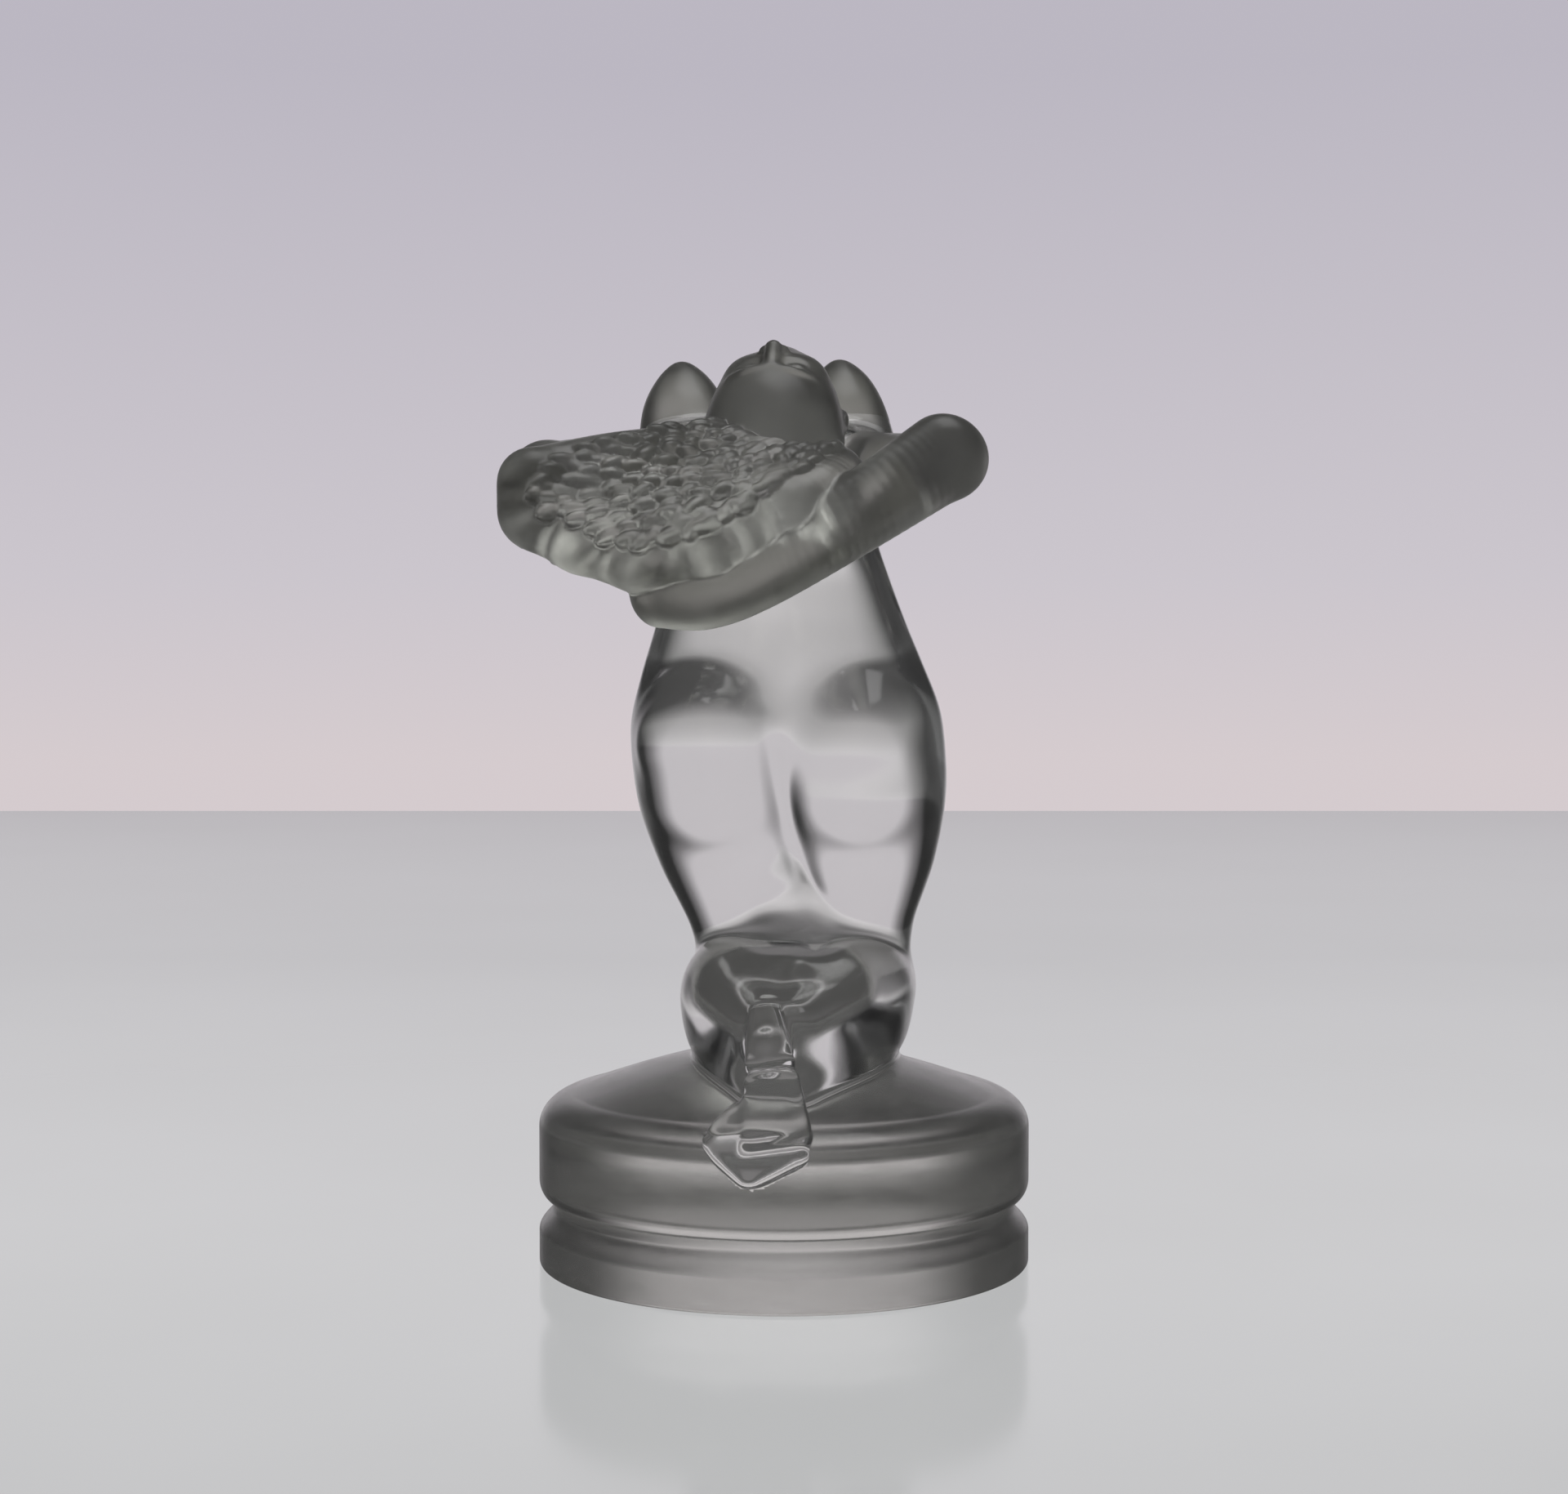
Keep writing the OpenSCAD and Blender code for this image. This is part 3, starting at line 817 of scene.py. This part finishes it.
# Hair, lock by lock, then the head
hair_tool = mesh_from_field("tool", solid_hair, TOOL_GROW)
tag(hair_tool, 0)
hair, figure = split(figure, hair_tool)
for k in range(1, 6):
    middle = (LOCK_POINTS[k - 1] + LOCK_POINTS[k]) / 2
    across = LOCK_POINTS[k, 1] - LOCK_POINTS[k - 1, 1]
    along = middle[2] - middle[0]
    normal = across - along * np.dot(across, along) / np.dot(along, along)
    lock, hair = cut_at(hair, middle[1], normal)
    finish_piece(f"hair_wave_{k}", lock, [f"hair_lock_{k}"], satin)
finish_piece("hair_wave_6", hair, ["hair_lock_6"], satin)
origin, right, crown, face = head_frame()
head, figure = split(figure, ball_tool(origin + crown * 0.4 + face * 0.6, (10.6, 12.8, 11.6),
                                       (-right, crown, face)))
finish_piece("head_skin", head, ["head"], satin)

# Behind the body: crossed feet below, folded arms above
behind, front = cut_at(figure, (0, -27.5, 0), (0, 1, 0))
feet, folded = cut_at(behind, (0, 0, 60), (0, 0, 1))
foot_low, foot_high = place(-12, -42, -18), place(12, -20, 14)
upper_foot, lower_foot = split(feet, tool_from_field(build_upper_foot, foot_low, foot_high))
finish_piece("foot_upper", upper_foot, ["right_foot"], clear)
finish_piece("foot_lower", lower_foot, ["left_foot"], clear)
inner, outer = cut_at(folded, place(3, 0, 66), (1, 0, 0))
finish_piece("forearm_right", outer, ["right_forearm"], satin)
hand, forearm = cut_at(inner, place(0, 0, 71), (0, 0, 1))
finish_piece("hand_right", hand, ["right_hand"], satin)
finish_piece("forearm_left", forearm, ["left_forearm"], satin)

# Shoulders, bust and neck
lower, upper = cut_at(front, place(0, 0, 71.5), (0, 0, 1))
hand, upper = split(upper, ball_tool(place(0, -22, 75.5), (13, 7, 8)))
finish_piece("hand_left", hand, ["left_hand"], satin)
for side, word in ((1, "right"), (-1, "left")):
    arm, upper = cut_at(upper, place(side * 14.5 + 1, -8, 79.5), (-side * 0.75, 0.66, 0))
    finish_piece("upper_arm_" + word, arm, [word + "_upper_arm"], satin)
    bust, upper = split(upper, ball_tool(place(side * 11.2 + 1.2, 3.4, 90), (7.4, 7.6, 8.6)))
    finish_piece("bust_" + word, bust, [word + "_breast"], satin)
throat, upper = split(upper, ball_tool(place(2.8, -10, 84), (7.2, 6.6, 6.4)))
finish_piece("throat", throat, ["neck"], satin)
finish_piece("rib_cage", upper, ["chest"], clear)

# Trunk and legs
for height, name, node in ((53, "waist", "abdomen"), (37, "hips", "pelvis")):
    lower, piece = cut_at(lower, place(0, 0, height), (0, 0, 1))
    finish_piece(name, piece, [node], clear)
shins, thighs = cut_at(lower, place(0, -14, 15.8), (0, 0.252, 0.968))
for name, mesh, node in (("thigh", thighs, "thigh"), ("shin", shins, "lower_leg")):
    left, right_side = cut_at(mesh, place(0, 0, 20), (1, 0, 0))
    finish_piece(name + "_left", left, ["left_" + node], clear)
    finish_piece(name + "_right", right_side, ["right_" + node], clear)

# Turned part of the base
drum_profile = [(BASE_R - GROOVE_DEPTH, NECK_TOP)] + arc(
    BASE_R - GROOVE_DEPTH + LIP_STEP, NECK_TOP + LIP_H, GROOVE_DEPTH - LIP_STEP, LIP_H,
    -90, 0, 16) + [(BASE_R, SEAM_Z)]
neck_profile = [(BASE_R - GROOVE_DEPTH * (1 - math.cos(math.pi * t)) / 2, RING_TOP + GROOVE_RISE * t)
                for t in np.linspace(0, 1, 17)] + [(BASE_R - GROOVE_DEPTH, NECK_TOP)]
ring_profile = arc(BASE_R - FOOT_EDGE, FOOT_EDGE, FOOT_EDGE, FOOT_EDGE, -90, 0, 8) + [(BASE_R, RING_TOP)]
ring_profile[0] = (ring_profile[0][0], 0)
for name, profile, node in (("lower_ring", ring_profile, "base_ring"),
                            ("clamp_neck", neck_profile, "base_neck"),
                            ("drum_wall", drum_profile, "base_drum")):
    mesh = turned_mesh(name, profile)
    mesh.materials.append(satin_base)
    mesh.materials.append(seam)
    obj = add_object(name, mesh)
    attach(obj, "root")
    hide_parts(node)
    obj.visible_shadow = False

# ---------------------------------------------------------------- studio

TURN = math.radians(7.0)
DISTANCE = 380.0
EYE_H = 86.5
PITCH = math.radians(2.13)
FOCAL = 62.0

cam_data = bpy.data.cameras.new("camera")
cam_data.sensor_width = 36.0
cam_data.lens = FOCAL
cam_data.clip_start = 0.01
cam = bpy.data.objects.new("camera", cam_data)
cam.location = (DISTANCE * math.sin(TURN) * MM, -DISTANCE * math.cos(TURN) * MM, EYE_H * MM)
cam.rotation_euler = (math.pi / 2 - PITCH, 0, TURN)
bpy.context.scene.collection.objects.link(cam)
bpy.context.scene.camera = cam

TABLE = 1.04
GLOW_NEAR, GLOW_FAR = 0.14, 0.25  # distances from the axis over which the glow grows
# GLOW_DIM is the painted shade near the base, GLOW_FULL the painted light farther out
GLOW_DIM, GLOW_FULL = 0.3, 1.35
SURROUND_R = 3.5


def math_node(nodes, links, operation, first, second=None):
    node = nodes.new("ShaderNodeMath")
    node.operation = operation
    for socket, value in zip(node.inputs, (first, second)):
        if isinstance(value, (int, float)):
            socket.default_value = value
        elif value is not None:
            links.new(value, socket)
    return node.outputs["Value"]


def painted_light_table_material():
    """White gloss top, seen by the camera alone; its emission is painted light, brightest near the camera and
    fading darker towards the far side.
    """
    mat, nodes, links, shader = principled("table")
    where = nodes.new("ShaderNodeTexCoord")
    split = nodes.new("ShaderNodeSeparateXYZ")
    links.new(where.outputs["Object"], split.inputs["Vector"])
    depth = nodes.new("ShaderNodeMapRange")
    depth.inputs["From Min"].default_value = -0.3
    depth.inputs["From Max"].default_value = TABLE
    links.new(split.outputs["Y"], depth.inputs["Value"])
    # painted light: the emission fades from near to far, as light falling on the table would
    tone = ramp(nodes, [(0.0, (0.47, 0.475, 0.48)), (0.22, (0.42, 0.425, 0.43)), (0.5, (0.24, 0.245, 0.25)),
                        (1.0, (0.12, 0.12, 0.125))])
    links.new(depth.outputs["Result"], tone.inputs["Fac"])
    smudge = nodes.new("ShaderNodeTexNoise")
    smudge.inputs["Scale"].default_value = 9.0
    smudge.inputs["Detail"].default_value = 5.0
    links.new(where.outputs["Object"], smudge.inputs["Vector"])
    soft = ramp(nodes, [(0.3, (0.96, 0.96, 0.955)), (0.7, (1, 1, 1))])
    links.new(smudge.outputs["Fac"], soft.inputs["Fac"])
    blend = nodes.new("ShaderNodeMix")
    blend.data_type = "RGBA"
    blend.blend_type = "MULTIPLY"
    blend.inputs["Factor"].default_value = 1.0
    links.new(tone.outputs["Color"], blend.inputs["A"])
    links.new(soft.outputs["Color"], blend.inputs["B"])
    links.new(blend.outputs["Result"], shader.inputs["Emission Color"])
    shader.inputs["Emission Strength"].default_value = 1.0
    shader.inputs["Base Color"].default_value = (0.2, 0.2, 0.2, 1)
    shader.inputs["Roughness"].default_value = 0.13
    shader.inputs["IOR"].default_value = 1.3
    return mat


def glow_material():
    """What the glass sees of the table: a darkened copy of the white table as a dark gloss, with emission as
    painted light, brighter towards the backdrop, and painted shade near the base.
    """
    mat, nodes, links, shader = principled("table_glow")
    where = nodes.new("ShaderNodeTexCoord")
    split = nodes.new("ShaderNodeSeparateXYZ")
    links.new(where.outputs["Object"], split.inputs["Vector"])
    forward = math_node(nodes, links, "ADD", split.outputs["Y"], 0.05)
    angle = math_node(nodes, links, "ARCTAN2", split.outputs["X"], forward)
    share = math_node(nodes, links, "DIVIDE", math_node(nodes, links, "ABSOLUTE", angle), math.pi)
    tone = ramp(nodes, GLOW_STOPS)
    links.new(share, tone.inputs["Fac"])
    links.new(tone.outputs["Color"], shader.inputs["Emission Color"])
    length = nodes.new("ShaderNodeVectorMath")
    length.operation = "LENGTH"
    links.new(where.outputs["Object"], length.inputs[0])
    reach = nodes.new("ShaderNodeMapRange")
    reach.inputs["From Min"].default_value = GLOW_NEAR
    reach.inputs["From Max"].default_value = GLOW_FAR
    reach.inputs["To Min"].default_value = GLOW_DIM
    reach.inputs["To Max"].default_value = GLOW_FULL
    links.new(length.outputs["Value"], reach.inputs["Value"])
    links.new(reach.outputs["Result"], shader.inputs["Emission Strength"])
    shader.inputs["Base Color"].default_value = (0.05, 0.05, 0.05, 1)
    shader.inputs["Roughness"].default_value = 0.1
    shader.inputs["IOR"].default_value = 1.5
    return mat


def stage_mesh(name, points, faces, mat):
    mesh = bpy.data.meshes.new(name)
    mesh.from_pydata(points, [], faces)
    mesh.materials.append(mat)
    obj = add_object(name, mesh)
    return obj


BRIGHT = (0.60, 0.57, 0.60)
SKY_STOPS = [(0.0, BRIGHT), (0.12, BRIGHT), (0.165, (0.22, 0.21, 0.22)), (0.21, (0.02, 0.02, 0.02)),
             (0.43, (0.03, 0.03, 0.03)), (0.5, (0.17, 0.165, 0.175)), (0.57, (0.05, 0.05, 0.05)),
             (0.7, (0.16, 0.16, 0.165)), (1.0, (0.16, 0.16, 0.165))]
# GLOW_STOPS paint light by direction: brightest towards the backdrop, dark to the sides, a little lighter
# towards the camera
GLOW_STOPS = [(0.0, (0.21, 0.205, 0.205)), (0.12, (0.18, 0.178, 0.178)), (0.2, (0.03, 0.03, 0.03)),
              (0.6, (0.07, 0.07, 0.07)), (1.0, (0.11, 0.11, 0.11))]
ALL_RAYS = ("camera", "diffuse", "glossy", "transmission", "volume_scatter", "shadow")


def seen_by(obj, kinds):
    for kind in ALL_RAYS:
        setattr(obj, "visible_" + kind, kind in kinds)


corners = [(-TABLE, -TABLE, 0), (TABLE, -TABLE, 0), (TABLE, TABLE, 0), (-TABLE, TABLE, 0)]
table = stage_mesh("table", corners, [(0, 1, 2, 3)], painted_light_table_material())
table.rotation_euler = (0, 0, TURN)
seen_by(table, ("camera",))
table_glow = stage_mesh("table_glow", corners, [(0, 1, 2, 3)], glow_material())
table_glow.rotation_euler = (0, 0, TURN)
table_glow.location = (0, 0, -0.0002)
seen_by(table_glow, ("diffuse", "glossy", "transmission"))


def surround():
    """Pale sweep of paper all round, seen by the camera alone; its emission carries painted shade, paler near
    the floor and darker towards the top.
    """
    mat = bpy.data.materials.new("paper")
    mat.use_nodes = True
    nodes, links = mat.node_tree.nodes, mat.node_tree.links
    nodes.clear()
    out = nodes.new("ShaderNodeOutputMaterial")
    glow = nodes.new("ShaderNodeEmission")
    where = nodes.new("ShaderNodeTexCoord")
    split = nodes.new("ShaderNodeSeparateXYZ")
    scale = nodes.new("ShaderNodeMapRange")
    scale.inputs["From Min"].default_value = -0.05 * SURROUND_R
    scale.inputs["From Max"].default_value = 0.25 * SURROUND_R
    # painted shade: the paper darkens from the floor upwards
    tone = ramp(nodes, [(0.10, (0.665, 0.60, 0.62)), (0.34, (0.60, 0.565, 0.61)), (1.0, (0.50, 0.475, 0.54))])
    links.new(where.outputs["Object"], split.inputs["Vector"])
    links.new(split.outputs["Z"], scale.inputs["Value"])
    links.new(scale.outputs["Result"], tone.inputs["Fac"])
    links.new(tone.outputs["Color"], glow.inputs["Color"])
    links.new(glow.outputs[0], out.inputs["Surface"])
    bm = bmesh.new()
    bmesh.ops.create_uvsphere(bm, u_segments=64, v_segments=32, radius=SURROUND_R)
    for face in bm.faces:
        face.smooth = True
    mesh = bpy.data.meshes.new("paper_sweep")
    bm.to_mesh(mesh)
    bm.free()
    mesh.materials.append(mat)
    obj = add_object("paper_sweep", mesh)
    seen_by(obj, ("camera",))


surround()

world = bpy.data.worlds.new("studio")
world.use_nodes = True
nodes, links = world.node_tree.nodes, world.node_tree.links
where = nodes.new("ShaderNodeTexCoord")
towards = nodes.new("ShaderNodeVectorMath")
towards.operation = "DOT_PRODUCT"
towards.inputs[1].default_value = (-math.sin(TURN), math.cos(TURN), 0.0)
links.new(where.outputs["Generated"], towards.inputs[0])
angle = nodes.new("ShaderNodeMath")
angle.operation = "ARCCOSINE"
links.new(towards.outputs["Value"], angle.inputs[0])
turn_share = nodes.new("ShaderNodeMath")
turn_share.operation = "DIVIDE"
turn_share.inputs[1].default_value = math.pi
links.new(angle.outputs["Value"], turn_share.inputs[0])
sky = ramp(nodes, SKY_STOPS)
links.new(turn_share.outputs["Value"], sky.inputs["Fac"])
links.new(sky.outputs["Color"], nodes["Background"].inputs["Color"])
bpy.context.scene.world = world


def area(name, place, aim, size, power, color=(1, 1, 1)):
    data = bpy.data.lights.new(name, "AREA")
    data.shape = "RECTANGLE"
    data.size, data.size_y = size
    data.energy = power
    data.color = color
    obj = bpy.data.objects.new(name, data)
    obj.location = place
    obj.rotation_euler = (Vector(aim) - Vector(place)).to_track_quat("-Z", "Y").to_euler()
    bpy.context.scene.collection.objects.link(obj)
    return obj


area("top_light", (0.1, 0.1, 1.2), (0, 0, 0.05), (0.7, 0.7), 3.0)

scene = bpy.context.scene
scene.view_settings.view_transform = "Standard"
scene.cycles.max_bounces = 24
scene.cycles.transmission_bounces = 20
scene.cycles.transparent_max_bounces = 40
